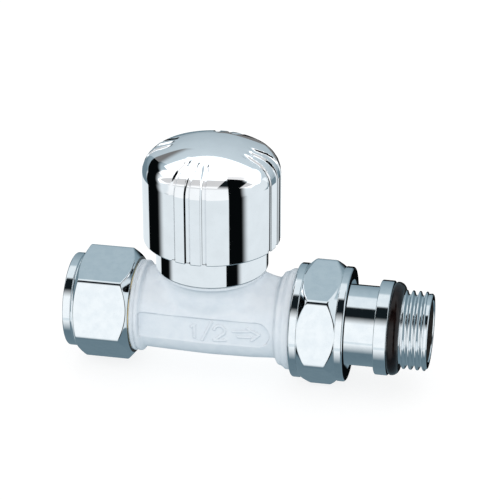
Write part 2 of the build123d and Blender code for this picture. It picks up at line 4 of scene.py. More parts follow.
import bpy
import numpy as np
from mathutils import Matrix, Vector


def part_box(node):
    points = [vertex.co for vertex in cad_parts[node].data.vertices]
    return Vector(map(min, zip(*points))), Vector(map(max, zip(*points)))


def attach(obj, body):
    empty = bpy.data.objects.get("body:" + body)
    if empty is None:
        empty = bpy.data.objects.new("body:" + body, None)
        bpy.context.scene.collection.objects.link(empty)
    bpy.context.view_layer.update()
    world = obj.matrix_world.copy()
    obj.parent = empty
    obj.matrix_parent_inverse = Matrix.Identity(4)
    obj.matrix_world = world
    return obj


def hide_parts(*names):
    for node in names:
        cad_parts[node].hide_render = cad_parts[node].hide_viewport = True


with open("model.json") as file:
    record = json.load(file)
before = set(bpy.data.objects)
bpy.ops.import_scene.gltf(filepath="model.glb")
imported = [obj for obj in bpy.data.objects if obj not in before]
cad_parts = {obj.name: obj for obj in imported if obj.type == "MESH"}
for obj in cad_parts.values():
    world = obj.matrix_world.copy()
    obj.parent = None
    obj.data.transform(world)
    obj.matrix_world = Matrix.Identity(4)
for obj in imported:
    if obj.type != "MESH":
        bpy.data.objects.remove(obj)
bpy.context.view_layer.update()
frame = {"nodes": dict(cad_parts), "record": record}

# Looks of a straight lockshield radiator valve. Shapes are worked out in millimetres and written in metres.
# "x" runs along the flow axis, "z" up the spindle, "beta" turns about the flow axis from +Y to +Z, and
# "theta" turns about the spindle from +X to +Y.

MM = 0.001
mounts = {m["name"]: m for m in frame["record"]["mounts"]}
spindle_x = mounts["key_socket"]["pos_m"][0] / MM


# ------------------------------------------------------------------ outlines
def rounded(points, step=14.0):
    """Closed outline with each corner (x, r, radius) rounded. Returns places and outward normals."""
    pts = [np.array(p[:2], float) for p in points]
    count = len(pts)
    area = sum(a[0] * b[1] - b[0] * a[1] for a, b in zip(pts, pts[1:] + pts[:1]))
    runs = [pts[(i + 1) % count] - pts[i] for i in range(count)]
    lengths = [float(np.linalg.norm(run)) for run in runs]
    turns, reaches = [], []
    for i in range(count):
        u, v = runs[i - 1] / lengths[i - 1], runs[i] / lengths[i]
        turns.append(math.atan2(u[0] * v[1] - u[1] * v[0], float(u @ v)))
        radius = points[i][2] if len(points[i]) > 2 else 0.05
        reaches.append(radius * abs(math.tan(turns[i] / 2)))
    squeeze = [min(1.0, 0.98 * lengths[i] / max(reaches[i] + reaches[(i + 1) % count], 1e-9))
               for i in range(count)]
    places, normals = [], []
    for i in range(count):
        if abs(turns[i]) < 1e-6:
            continue
        u = runs[i - 1] / lengths[i - 1]
        reach = reaches[i] * min(squeeze[i - 1], squeeze[i])
        radius = reach / abs(math.tan(turns[i] / 2))
        side = np.array([-u[1], u[0]]) * math.copysign(1, turns[i])
        centre = pts[i] - u * reach + side * radius
        parts = max(2, int(abs(math.degrees(turns[i])) / step) + 1)
        for k in range(parts + 1):
            a = turns[i] * k / parts
            c, s = math.cos(a), math.sin(a)
            spoke = np.array([-c * side[0] + s * side[1], -s * side[0] - c * side[1]])
            places.append(centre + spoke * radius)
            tangent = np.array([c * u[0] - s * u[1], s * u[0] + c * u[1]])
            normals.append(np.array([tangent[1], -tangent[0]]) * math.copysign(1, area))
    return np.array(places), np.array(normals)


def refine(places, normals, spacing):
    """Splits the long runs of a closed outline; spacing(point) is the longest run wanted there."""
    out_p, out_n = [], []
    count = len(places)
    for i in range(count):
        a, b = places[i], places[(i + 1) % count]
        na, nb = normals[i], normals[(i + 1) % count]
        parts = max(1, int(math.ceil(np.linalg.norm(b - a) / spacing((a + b) / 2))))
        for k in range(parts):
            t = k / parts
            out_p.append(a * (1 - t) + b * t)
            n = na * (1 - t) + nb * t
            out_n.append(n / max(np.linalg.norm(n), 1e-9))
    return np.array(out_p), np.array(out_n)


# -------------------------------------------------------------------- meshes
def make_object(name, verts, faces, normals=None, smooth=True):
    """Mesh object from millimetre places; normals are per vertex where they are known."""
    mesh = bpy.data.meshes.new(name)
    mesh.from_pydata((np.asarray(verts) * MM).tolist(), [], [tuple(f) for f in faces])
    mesh.update()
    obj = bpy.data.objects.new(name, mesh)
    bpy.context.scene.collection.objects.link(obj)
    if smooth:
        mesh.shade_smooth()
    if normals is not None:
        mesh.normals_split_custom_set_from_vertices(np.asarray(normals).tolist())
    return obj


def grid_faces(rows, columns, flip=False):
    """Quads of a grid closed both ways."""
    r, c = np.meshgrid(np.arange(rows), np.arange(columns), indexing="ij")
    r1, c1 = (r + 1) % rows, (c + 1) % columns
    quads = np.stack([r * columns + c, r1 * columns + c, r1 * columns + c1, r * columns + c1], -1)
    quads = quads.reshape(-1, 4)
    return quads[:, ::-1] if flip else quads


def turned(name, points, spacing=lambda p: 50.0, steps=192, upright=False, height=None, angles=None):
    """Solid of revolution about the flow axis, or about the spindle if upright. height(place, radius, angle)
    gives how far the surface stands out at each vertex, as an array."""
    places, normals = refine(*rounded(points), spacing)
    if angles is None:
        angles = np.linspace(0, 2 * np.pi, steps, endpoint=False)
    rows, columns = len(places), len(angles)
    axial, radius = places[:, 0][:, None], places[:, 1][:, None]
    na, nr = normals[:, 0][:, None], normals[:, 1][:, None]
    ang = angles[None, :]
    zero = np.zeros((rows, columns))
    out, d_along, d_round = zero, zero, zero
    if height is not None:
        eps = 1e-3
        along = np.stack([-nr, na])
        out = height(axial + zero, radius + zero, ang + zero)
        d_along = (height(axial + along[0] * eps, radius + along[1] * eps, ang + zero)
                   - height(axial - along[0] * eps, radius - along[1] * eps, ang + zero)) / (2 * eps)
        d_round = (height(axial + zero, radius + zero, ang + eps / radius)
                   - height(axial + zero, radius + zero, ang - eps / radius)) / (2 * eps)
    a = axial + na * out
    r = radius + nr * out
    n_a = na - d_along * -nr
    n_r = nr - d_along * na
    n_t = -d_round
    cos, sin = np.cos(ang), np.sin(ang)
    if upright:
        verts = np.stack([spindle_x + r * cos, r * sin, a + zero], -1)
        norms = np.stack([n_r * cos - n_t * sin, n_r * sin + n_t * cos, n_a + zero], -1)
    else:
        verts = np.stack([a + zero, r * cos, r * sin], -1)
        norms = np.stack([n_a + zero, n_r * cos - n_t * sin, n_r * sin + n_t * cos], -1)
    norms /= np.linalg.norm(norms, axis=-1, keepdims=True)
    area = sum(p[0] * q[1] - q[0] * p[1] for p, q in zip(points, points[1:] + points[:1]))
    return make_object(name, verts.reshape(-1, 3), grid_faces(rows, columns, flip=area < 0),
                       norms.reshape(-1, 3))


def smooth_min(a, b, k):
    """Smaller of two values, rounded over k, with the share that comes from a."""
    h = np.clip(k - np.abs(a - b), 0, None) / k
    value = np.minimum(a, b) - h * h * k / 4
    share = np.where(a < b, 1 - h / 2, h / 2)
    return value, share


def hexagon(beta, flats, turn, corner):
    """Radius of a hexagon with rounded corners in direction beta; turn is a corner's angle."""
    apothem = flats / 2
    off = np.mod(beta - turn, np.pi / 3) - np.pi / 6
    off = np.abs(off)
    straight = np.arctan2((apothem - corner) * math.tan(math.pi / 6), apothem)
    centre = (apothem - corner) / math.cos(math.pi / 6)
    gamma = np.pi / 6 - off
    arc = centre * np.cos(gamma) + np.sqrt(np.clip(corner ** 2 - (centre * np.sin(gamma)) ** 2, 0, None))
    return np.where(off < straight, apothem / np.cos(off), arc)


def hex_angles(turn, flat_steps=36, corner_steps=26, corner_span=0.085):
    """Angles round a hexagon, closer together at its corners."""
    angles = []
    for side in range(6):
        start = turn + side * np.pi / 3
        angles.extend(start + np.linspace(-corner_span, corner_span, corner_steps, endpoint=False))
        angles.extend(start + np.linspace(corner_span, np.pi / 3 - corner_span, flat_steps, endpoint=False))
    return np.array(angles)


def hex_nut(name, points, flats, turn, corner, soft, spacing, hex_span):
    """Nut: a turned outline about the flow axis, cut by a hexagon, with soft edges where they meet."""
    places, normals = refine(*rounded(points), spacing)
    angles = hex_angles(turn)
    axial, radius = places[:, 0][:, None], places[:, 1][:, None]
    na, nr = normals[:, 0][:, None], normals[:, 1][:, None]
    ang = angles[None, :]
    flat = hexagon(ang, flats, turn, corner)
    eps = 1e-4
    slope = (hexagon(ang + eps, flats, turn, corner) - hexagon(ang - eps, flats, turn, corner)) / (2 * eps)
    rho, share = smooth_min(radius + 0 * ang, flat + 0 * radius, soft)
    outer = (axial > hex_span[0]) & (axial < hex_span[1]) & (radius > flats / 2 - 1.6)
    rho = np.where(outer, rho, radius)
    share = np.where(outer, share, 1.0)
    lift = np.where(share < 1, np.maximum(nr, 0.2), nr)
    n_x, n_r, n_b = na * share, lift, -lift * (1 - share) * slope / rho
    cos, sin = np.cos(ang), np.sin(ang)
    verts = np.stack([axial + 0 * ang, rho * cos, rho * sin], -1)
    norms = np.stack([n_x, n_r * cos - n_b * sin, n_r * sin + n_b * cos], -1)
    norms /= np.linalg.norm(norms, axis=-1, keepdims=True)
    area = sum(p[0] * q[1] - q[0] * p[1] for p, q in zip(points, points[1:] + points[:1]))
    return make_object(name, verts.reshape(-1, 3), grid_faces(len(places), len(angles), flip=area < 0),
                       norms.reshape(-1, 3))


# ------------------------------------------------------- cast body from a field
def distance_table(points, low, high, pitch=0.06):
    """Signed distance to a closed outline, sampled on a grid, as a function of two coordinates."""
    outline, _ = rounded(points, step=10)
    u = np.arange(low[0], high[0], pitch)
    v = np.arange(low[1], high[1], pitch)
    grid = np.stack(np.meshgrid(u, v, indexing="ij"), -1)
    best = np.full(grid.shape[:2], 1e9)
    inside = np.zeros(grid.shape[:2], bool)
    for a, b in zip(outline, np.roll(outline, -1, axis=0)):
        edge = b - a
        length2 = float(edge @ edge)
        if length2 < 1e-12:
            continue
        t = np.clip(((grid - a) @ edge) / length2, 0, 1)
        best = np.minimum(best, np.linalg.norm(grid - a - t[..., None] * edge, axis=-1))
        crosses = (a[1] > grid[..., 1]) != (b[1] > grid[..., 1])
        where = a[0] + (grid[..., 1] - a[1]) / (edge[1] if abs(edge[1]) > 1e-12 else 1e-12) * edge[0]
        inside ^= crosses & (grid[..., 0] < where)
    values = np.where(inside, -best, best)

    def look_up(p, q):
        i = np.clip((p - low[0]) / pitch, 0, len(u) - 1.001)
        j = np.clip((q - low[1]) / pitch, 0, len(v) - 1.001)
        i0, j0 = i.astype(int), j.astype(int)
        fi, fj = i - i0, j - j0
        return ((values[i0, j0] * (1 - fi) + values[i0 + 1, j0] * fi) * (1 - fj)
                + (values[i0, j0 + 1] * (1 - fi) + values[i0 + 1, j0 + 1] * fi) * fj)

    return look_up


def soft_min(a, b, k):
    h = np.clip(k - np.abs(a - b), 0, None) / k
    return np.minimum(a, b) - h * h * k / 4


def soft_max(a, b, k):
    return -soft_min(-a, -b, k)


def ease(t):
    t = np.clip(t, 0, 1)
    return t * t * (3 - 2 * t)


def field_mesh(name, field, low, high, step):
    """Mesh of the surface where field is zero, by surface nets, with its points settled on the surface."""
    low = np.array(low, float)
    shape = np.ceil((np.array(high) - low) / step).astype(int) + 1
    axes = [low[k] + step * np.arange(shape[k]) for k in range(3)]
    grid = np.stack(np.meshgrid(*axes, indexing="ij"), -1).reshape(-1, 3)
    values = field(grid).reshape(shape)
    inside = values < 0
    corners = [(i, j, k) for i in (0, 1) for j in (0, 1) for k in (0, 1)]

    def shifted(array, corner):
        cut = tuple(slice(c, shape[k] - 1 + c) for k, c in enumerate(corner))
        return array[cut]

    count = sum(shifted(inside, c).astype(int) for c in corners)
    active = (count > 0) & (count < 8)
    cells = np.argwhere(active)
    index = np.full(active.shape, -1)
    index[active] = np.arange(len(cells))
    level = np.stack([shifted(values, c)[active] for c in corners], -1)
    place, weight = np.zeros((len(cells), 3)), np.zeros((len(cells), 1))
    for a in range(8):
        for b in range(a + 1, 8):
            ca, cb = np.array(corners[a], float), np.array(corners[b], float)
            if np.abs(ca - cb).sum() != 1:
                continue
            va, vb = level[:, a], level[:, b]
            cross = (va < 0) != (vb < 0)
            t = np.where(cross, va / np.where(cross, va - vb, 1), 0)[:, None]
            place += cross[:, None] * (ca + t * (cb - ca))
            weight += cross[:, None]
    verts = low + (cells + place / weight) * step
    faces = []
    for axis in range(3):
        b, c = (axis + 1) % 3, (axis + 2) % 3
        first = np.take(inside, np.arange(shape[axis] - 1), axis=axis)
        second = np.take(inside, np.arange(1, shape[axis]), axis=axis)
        found = np.argwhere(first != second)
        keep = (found[:, b] > 0) & (found[:, c] > 0)
        keep &= (found[:, b] < shape[b] - 1) & (found[:, c] < shape[c] - 1)
        found = found[keep]
        outward = first[tuple(found.T)]
        ring = []
        for db, dc in ((1, 1), (0, 1), (0, 0), (1, 0)):
            cell = found.copy()
            cell[:, b] -= db
            cell[:, c] -= dc
            ring.append(index[tuple(cell.T)])
        quads = np.stack(ring, -1)
        quads[~outward] = quads[~outward][:, ::-1]
        faces.append(quads)
    faces = np.concatenate(faces)

    def slope(p):
        e = 0.02
        parts = []
        for k in range(3):
            d = np.zeros(3)
            d[k] = e
            parts.append((field(p + d) - field(p - d)) / (2 * e))
        return np.stack(parts, -1)

    for _ in range(4):
        g = slope(verts)
        move = field(verts)[:, None] * g / np.maximum((g * g).sum(-1, keepdims=True), 1e-3)
        length = np.linalg.norm(move, axis=-1, keepdims=True)
        verts = verts - move * np.minimum(1, 0.4 * step / np.maximum(length, 1e-9))
    g = slope(verts)
    g /= np.maximum(np.linalg.norm(g, axis=-1, keepdims=True), 1e-9)
    return make_object(name, verts, faces, g)


# ------------------------------------------------------------- body of the valve
bead_start, union_face = 1.6, 44.9  # where the casting meets its two threaded stubs
lip_r, lip_low, lip_top = 14.5, 13.4, 14.4
boss_r, flare_low, flare_r = 10.6, 8.0, 5.69
barrel_outline = [
    (bead_start, -5), (bead_start, 12.3, 0.35), (2.25, 12.3, 0.25), (2.65, 11.85, 0.15), (3.05, 12.25, 0.25),
    (3.85, 12.25, 0.4), (4.4, 10.95, 0.8), (10, 11.15, 30), (22, 11.45, 60), (34, 11.2, 30),
    (40.2, 10.8, 1.0),
    (41.2, 12.5, 0.7), (42.2, 12.75, 0.5), (43.2, 13.5, 0.4), (union_face, 13.6, 0.35), (union_face, -5),
]
flare_turns = [math.radians(a) for a in range(0, 72, 6)]
flare = [(boss_r + flare_r * (1 - math.cos(a)), flare_low + flare_r * math.sin(a)) for a in flare_turns]
boss_outline = [(-5, -2), (boss_r, -2), *flare, (lip_r, lip_low, 0.3), (lip_r, lip_top, 0.3), (-5, lip_top)]
barrel_distance = distance_table(barrel_outline, (-1, -2), (48, 18))
boss_distance = distance_table(boss_outline, (-1, -4), (26, 18))

panel_middle, panel_half, panel_end, panel_sink = -0.35, 3.55, 39.4, 0.4


def barrel_radius(x):
    """Plain radius of the barrel, without its beads."""
    u = (x - spindle_x) / 20
    return 11.45 - 0.52 * u * u


def panel_floor(x):
    return -(np.sqrt(barrel_radius(x) ** 2 - panel_half ** 2) - panel_sink)


def cylinder_x(p, radius, height, start, end):
    across = np.hypot(p[:, 1], p[:, 2] - height) - radius
    return np.maximum(across, np.maximum(start - p[:, 0], p[:, 0] - end))


def cylinder_z(p, radius, start, end):
    across = np.hypot(p[:, 0] - spindle_x, p[:, 1]) - radius
    return np.maximum(across, np.maximum(start - p[:, 2], p[:, 2] - end))


def casting_field(p):
    x, y, z = p.T
    round_x, round_z = np.hypot(y, z), np.hypot(x - spindle_x, y)
    blend = 0.4 + 5.6 * ease((z - 3.5) / 5.5) * (1 - 0.75 * ease((z - 10.5) / 3.5))
    solid = soft_min(barrel_distance(x, round_x), boss_distance(round_z, z), blend)
    solid = soft_max(solid, z - lip_top, 0.3)
    solid = np.maximum(solid, np.maximum(bead_start - x, x - union_face))
    nose = np.hypot(x - panel_end + panel_half, z - panel_middle)
    outline = np.where(x > panel_end - panel_half, nose, np.abs(z - panel_middle)) - panel_half
    outline = soft_max(outline, 4.0 - x, 0.5)
    solid = soft_max(solid, -soft_max(outline, y - panel_floor(x), 0.25), 0.3)
    hollow = cylinder_x(p, 6.0, 0, 0, 8)
    hollow = np.minimum(hollow, cylinder_x(p, 4.0, -5, 6, 26.5))
    hollow = np.minimum(hollow, cylinder_z(p, 3.8, -5, 2.5))
    hollow = np.minimum(hollow, np.maximum(cylinder_z(p, 8.5, 1, 9.6), -cylinder_z(p, 5.4, 0, 2)))
    hollow = np.minimum(hollow, cylinder_z(p, 9.95, 9.6, 16))
    hollow = np.minimum(hollow, cylinder_x(p, 4.0, 5.2, spindle_x, 38))
    hollow = np.minimum(hollow, cylinder_x(p, 7.5, 0, 38, 50))
    return soft_max(solid, -hollow, 0.2)


casting = field_mesh("casting", casting_field, (1.2, -15, -14.2), (45.4, 15, 15), 0.34)


def stroke_distance(x, z, strokes):
    best = np.full(x.shape, 1e9)
    for stroke in strokes:
        for (ax, az), (bx, bz) in zip(stroke[:-1], stroke[1:]):
            dx, dz = bx - ax, bz - az
            t = np.clip(((x - ax) * dx + (z - az) * dz) / (dx * dx + dz * dz), 0, 1)
            best = np.minimum(best, np.hypot(x - ax - t * dx, z - az - t * dz))
    return best


two_bowl = [(26.1 + 1.42 * math.cos(math.radians(a)), 0.12 + 1.42 * math.sin(math.radians(a)))
            for a in range(170, -46, -12)]
strokes = [
    [(18.5, 0.45), (19.3, 1.3), (19.3, -2.5)],
    [(21.45, -3.1), (24.0, 2.5)],
    [*two_bowl, (24.65, -2.85), (27.6, -2.65)],
    [(29.8, 0.2), (34.1, 0.6)],
    [(31.1, -1.25), (34.2, -1.15)],
    [(33.6, 1.35), (36.7, -0.3), (34.7, -2.05)],
]
stroke_r = 0.4


def marks_field(p):
    x, y, z = p.T
    depth = y - panel_floor(x)
    flat = stroke_distance(x, z, strokes)
    raised = np.hypot(flat, depth) - stroke_r
    skin = soft_min(raised, 0.03 - depth, 0.3)
    return np.maximum(np.maximum(skin, flat - stroke_r - 0.35), depth - 0.5)


marks = field_mesh("body_marks", marks_field, (17.5, -11.8, -4.2), (37.8, -9.3, 3.4), 0.1)


# --------------------------------------------------------------------- threads
def thread_height(start, end, pitch, low_r):
    """Right-hand rounded thread cut into a turned surface between two stations, fading out at both ends."""
    depth = 0.62 * pitch

    def height(x, r, beta):
        phase = (x - start) / pitch - beta / (2 * math.pi)
        off = np.abs(np.mod(phase + 0.5, 1) - 0.5) * 2
        cut = 0.5 - 0.5 * np.cos(math.pi * np.clip((off - 0.12) / 0.76, 0, 1))
        fade = np.clip((x - start) / (0.4 * pitch), 0, 1) * np.clip((end - x) / (0.4 * pitch), 0, 1)
        return np.where(r > low_r, -depth * cut * fade, 0.0)

    return height


inlet_stub = turned(
    "inlet_stub",
    [(-9.5, 9.8, 0.1), (-9.5, 11.2, 0.15), (-8.7, 12.0, 0.1), (0.1, 12.0, 0.1), (0.3, 10.2, 0.1),
     (bead_start, 10.2), (bead_start, 6.2), (0, 6.2), (0, 7.6, 0.05), (-6.5, 7.6, 0.05)],
    spacing=lambda p: 0.11 if p[1] > 10.9 else 1.0, steps=144,
    height=thread_height(-9.0, 0.2, 1.337, 10.9))
outlet_stub = turned(
    "outlet_stub",
    [(union_face, 7.5), (union_face, 12.3), (45.3, 12.3, 0.1), (45.6, 13.22, 0.1), (53.2, 13.22, 0.1),
     (54, 12.4, 0.15), (54, 9.6, 0.1), (50, 9.6, 0.05), (50, 7.5, 0.05)],
    spacing=lambda p: 0.14 if p[1] > 12.2 else 1.0, steps=144,
    height=thread_height(45.6, 53.6, 1.814, 12.0))

# ------------------------------------------------------------------ nuts and tail
tailpiece = turned(
    "tailpiece_turned",
    [(50.6, 7.5, 0.1), (50.6, 9.5, 0.4), (51.4, 9.5, 0.15), (51.4, 8.0, 0.1), (53.2, 8.0, 0.1),
     (53.2, 9.5, 0.15),
     (54.3, 9.5, 0.1), (54.3, 12.7, 0.2), (57, 12.7, 0.2), (57, 10.75, 0.15), (67, 10.75, 0.25),
     (67, 12.6, 0.35), (70.4, 12.6, 0.25), (70.4, 9.3, 0.1), (73.5, 9.3, 0.1), (73.7, 10.4775, 0.15),
     (80.1, 10.4775, 0.2), (80.8, 9.75, 0.2), (80.8, 8.25, 0.2), (62, 8.25, 0.1), (62, 7.5, 0.1)],
    spacing=lambda p: 0.1 if p[0] > 73.4 and p[1] > 9.2 else (0.6 if p[0] > 60 and p[1] > 8.5 else 3.0),
    steps=220, height=thread_height(73.3, 80.6, 1.814, 9.2))

# Thin near-black tube just inside the tail's bore: painted shade, a dark sheet that stands for the shadow
# deep in the bore.
bore_shade_tube = turned(
    "tail_bore_painted_shade", [(62.1, 8.2), (80.5, 8.2), (80.5, 8.1), (62.1, 8.1)], spacing=lambda p: 6.0)

tail_ring = turned(
    "tail_ring", [(70.5, 9.45, 0.5), (70.5, 12.4, 0.9), (73.4, 12.4, 2.0), (73.4, 9.45, 0.5)],
    spacing=lambda p: 0.25)

compression_nut = hex_nut(
    "compression_nut_hex",
    [(-16.4, 7.7, 0.25), (-16.4, 12.6, 0.4), (-14.2, 12.6, 0.3), (-14.0, 12.1, 0.1), (-13.7, 12.1, 0.1),
     (-13.7, 12.4, 0.15), (-12.1, 15.59, 0.3), (-0.7, 15.59, 0.3), (1.5, 13.0, 0.3), (1.5, 12.1, 0.1),
     (-12.2, 12.1, 0.1), (-12.2, 9.7, 0.1), (-12.5, 9.7, 0.1), (-13.95, 8.3, 0.1), (-13.95, 7.7, 0.1)],
    27.0, math.radians(13.9), 1.5, 0.35,
    lambda p: 0.12 if p[1] > 12.2 and (-13.8 < p[0] < -11.8 or p[0] > -1) else 2.5, (-13.75, 1.6))
union_nut = hex_nut(
    "union_nut_hex",
    [(45.05, 13.32, 0.1), (45.05, 15.3, 0.6), (47.2, 15.3, 0.15), (47.2, 14.9, 0.1), (49.8, 17.32, 0.3),
     (54.7, 17.32, 0.3), (57.3, 14.9, 0.1), (57.3, 15.3, 0.15), (59.4, 15.3, 0.6), (59.4, 12.05, 0.3),
     (58.2, 10.85, 0.1), (57.05, 10.85, 0.1), (57.05, 12.9, 0.1), (54.2, 12.9, 0.1), (54.2, 13.32, 0.1)],
    30.0, math.radians(16.2), 1.9, 0.4,
    lambda p: 0.12 if p[1] > 14.5 and (47.1 < p[0] < 50.2 or 54.2 < p[0] < 57.4) else 2.5, (47.18, 57.32))

# ------------------------------------------------------------------- collar and cap
collar = turned(
    "collar_turned",
    [(14.4, 10.1), (14.4, 14.9, 0.35), (24.4, 14.9, 0.1), (24.4, 13.85, 0.1), (25.7, 13.85, 0.1),
     (25.7, 14.9, 0.1), (27.4, 14.9, 0.4), (27.4, 12.9, 0.3), (15.9, 12.9, 0.2), (15.9, 10.1, 0.1)],
    spacing=lambda p: 2.0, steps=256, upright=True)

cap_r, cap_low, wall = 18.1, 22.35, 1.5
crown_r, crown_z, crown_slope = 32.9, 17.0, math.radians(26.3)  # radius, height of its centre, where it ends
shoulder = (cap_r - crown_r * math.sin(crown_slope)) / (1 - math.sin(crown_slope))
shoulder_z = crown_z + (crown_r - shoulder) * math.cos(crown_slope)
flute_step, flute_half, flute_depth, flute_end = math.radians(13.6), 0.82, 0.45, 9.4
first_group = -98.3
flute_angles = [math.radians(first_group + 90 * group) + flute_step * (k - 1)
                for group in range(4) for k in range(3)]


def cap_outline(inset):
    """Two corners whose roundings make the shoulder and the crown, and the crown's middle."""
    crown, round_r = crown_r - inset, shoulder - inset
    top = crown_z + crown
    run = crown * math.tan(crown_slope / 2)
    corner = (top - run * math.sin(crown_slope), run * (1 + math.cos(crown_slope)))
    reach = (cap_r - inset - corner[1]) / math.cos(crown_slope)
    shoulder_corner = (corner[0] - reach * math.sin(crown_slope), cap_r - inset, round_r)
    return [shoulder_corner, (top, run, crown), (top, 0.02, 0.001)]


def flute_height(z, r, theta):
    depth = 0
    for middle in flute_angles:
        off = np.mod(theta - middle + math.pi, 2 * math.pi) - math.pi
        across = np.abs(off) * r / flute_half
        depth = depth + np.clip(1.15 * (1 - across ** 2), 0, 1) ** 1.2
    fade = ease((r - flute_end) / 2.5)
    on_crown = np.arctan2(r, z - crown_z) < crown_slope
    on_shoulder = np.hypot(r - cap_r + shoulder, z - shoulder_z) - shoulder
    reach = np.where(on_crown, np.hypot(r, z - crown_z) - crown_r,
                     np.where(z > shoulder_z, on_shoulder, r - cap_r))
    return np.where(reach > -0.5, -flute_depth * depth * fade, 0.0)


cap_angles = np.unique(np.concatenate(
    [np.linspace(0, 2 * math.pi, 180, endpoint=False)]
    + [np.mod(middle + np.linspace(-1, 1, 25) * math.radians(3.4), 2 * math.pi) for middle in flute_angles]))
cap = turned(
    "cap_shell_fluted",
    [(cap_low, cap_r - wall, 0.3), (cap_low, cap_r, 0.35), *cap_outline(0), *cap_outline(wall)[::-1]],
    spacing=lambda p: 0.6 if p[0] > shoulder_z - 1 else 3.0, upright=True, height=flute_height,
    angles=cap_angles)


# ------------------------------------------------------------------- materials
def add(tree, kind, settings=(), **sockets):
    """New node; settings are its properties, and sockets its input values or the outputs that feed them."""
    made = tree.nodes.new(kind)
    for key, value in dict(settings).items():
        setattr(made, key, value)
    for key, value in sockets.items():
        numbered = key[0] == "_" and key[1:].isdigit()
        socket = made.inputs[int(key[1:]) if numbered else key.replace("_", " ")]
        if isinstance(value, bpy.types.NodeSocket):
            tree.links.new(value, socket)
        else:
            socket.default_value = value
    return made


def math_node(tree, operation, *values, clamp=False):
    made = add(tree, "ShaderNodeMath", {"operation": operation, "use_clamp": clamp})
    for socket, value in zip(made.inputs, values):
        if isinstance(value, bpy.types.NodeSocket):
            tree.links.new(value, socket)
        else:
            socket.default_value = value
    return made.outputs[0]


def noise(tree, place, scale, detail=3.0, roughness=0.5):
    made = add(tree, "ShaderNodeTexNoise", Vector=place, Scale=scale, Detail=detail, Roughness=roughness)
    return made.outputs[0]


def spread(tree, value, low, high, from_low=0.3, from_high=0.7):
    made = add(tree, "ShaderNodeMapRange", {"interpolation_type": "SMOOTHSTEP"}, Value=value)
    for key, number in zip(("From Min", "From Max", "To Min", "To Max"), (from_low, from_high, low, high)):
        made.inputs[key].default_value = number
    return made.outputs[0]


def two_tone(tree, value, first, second):
    made = add(tree, "ShaderNodeMix", {"data_type": "RGBA"})
    tree.links.new(value, made.inputs[0])
    made.inputs[6].default_value = (*first, 1)
    made.inputs[7].default_value = (*second, 1)
    return made.outputs[2]


def finish_material(name, first, second, grain, rough, bump, metallic=0.0, lines=None, **fixed):
    """Surface whose tone and gloss vary with a fine grain. grain and bump are (size in mm, amount)."""
    mat = bpy.data.materials.new(name)
    mat.use_nodes = True
    tree = mat.node_tree
    shader = tree.nodes["Principled BSDF"]
    place = add(tree, "ShaderNodeTexCoord").outputs["Object"]
    cloud = noise(tree, place, 1 / (grain * MM), 4.0)
    fine = noise(tree, place, 1 / (bump[0] * MM), 3.0)
    tree.links.new(two_tone(tree, spread(tree, cloud, 0, 1), first, second), shader.inputs["Base Color"])
    tree.links.new(spread(tree, fine, rough[0], rough[1]), shader.inputs["Roughness"])
    height = fine
    if lines:
        stretched = add(tree, "ShaderNodeMapping", Vector=place, Scale=lines).outputs[0]
        height = noise(tree, stretched, 1.0, 3.0, 0.6)
    lifted = add(tree, "ShaderNodeBump", Height=height, Strength=1.0, Distance=bump[1] * MM)
    tree.links.new(lifted.outputs[0], shader.inputs["Normal"])
    shader.inputs["Metallic"].default_value = metallic
    for key, value in fixed.items():
        shader.inputs[key.replace("_", " ")].default_value = value
    return mat, tree, shader


lacquer, tree, shader = finish_material(
    "lacquer", (0.80, 0.86, 0.92), (0.86, 0.91, 0.96), 3.0, (0.30, 0.42), (0.7, 0.02), Coat_Weight=0.35,
    Coat_Roughness=0.22)
chrome, tree, shader = finish_material(
    "chrome", (0.80, 0.84, 0.87), (0.86, 0.89, 0.91), 2.2, (0.03, 0.075), (1.6, 0.0016), 1.0)
cap_chrome, tree, shader = finish_material(
    "cap_chrome", (0.86, 0.865, 0.88), (0.90, 0.905, 0.92), 4.0, (0.02, 0.045), (2.5, 0.001), 1.0)
brass, tree, shader = finish_material(
    "brass", (0.72, 0.55, 0.27), (0.83, 0.67, 0.38), 1.5, (0.2, 0.34), (0.3, 0.004), 1.0)
steel, tree, shader = finish_material(
    "steel", (0.50, 0.51, 0.53), (0.64, 0.65, 0.66), 0.8, (0.22, 0.36), (0.25, 0.004), 1.0)
seal_rubber, tree, shader = finish_material(
    "seal_rubber", (0.012, 0.012, 0.013), (0.03, 0.03, 0.032), 0.6, (0.42, 0.6), (0.2, 0.006))
ring_rubber, tree, shader = finish_material(
    "ring_rubber", (0.005, 0.002, 0.002), (0.012, 0.006, 0.005), 1.2, (0.14, 0.22), (0.5, 0.002),
    Specular_IOR_Level=0.3)
# Near-black and dull: painted shade for the inside of the tail's bore, not a colour of the metal.
painted_bore_shade, tree, shader = finish_material(
    "painted_bore_shade", (0.012, 0.011, 0.010), (0.035, 0.030, 0.026), 1.0, (0.5, 0.7), (0.4, 0.004),
    Specular_IOR_Level=0.2)
insert_plastic, tree, shader = finish_material(
    "insert_plastic", (0.62, 0.63, 0.64), (0.72, 0.73, 0.73), 2.0, (0.4, 0.55), (0.35, 0.008))
ptfe, tree, shader = finish_material(
    "ptfe", (0.82, 0.82, 0.80), (0.9, 0.9, 0.88), 1.4, (0.4, 0.55), (0.3, 0.006), Subsurface_Weight=0.1)

slots = {"lacquer": lacquer, "chrome": chrome, "cap_chrome": cap_chrome, "brass": brass, "steel": steel,
         "seal_rubber": seal_rubber, "ring_rubber": ring_rubber, "insert_plastic": insert_plastic,
         "ptfe": ptfe}


def dress(obj, slot_name):
    obj.data.materials.clear()
    obj.data.materials.append(slots[slot_name])


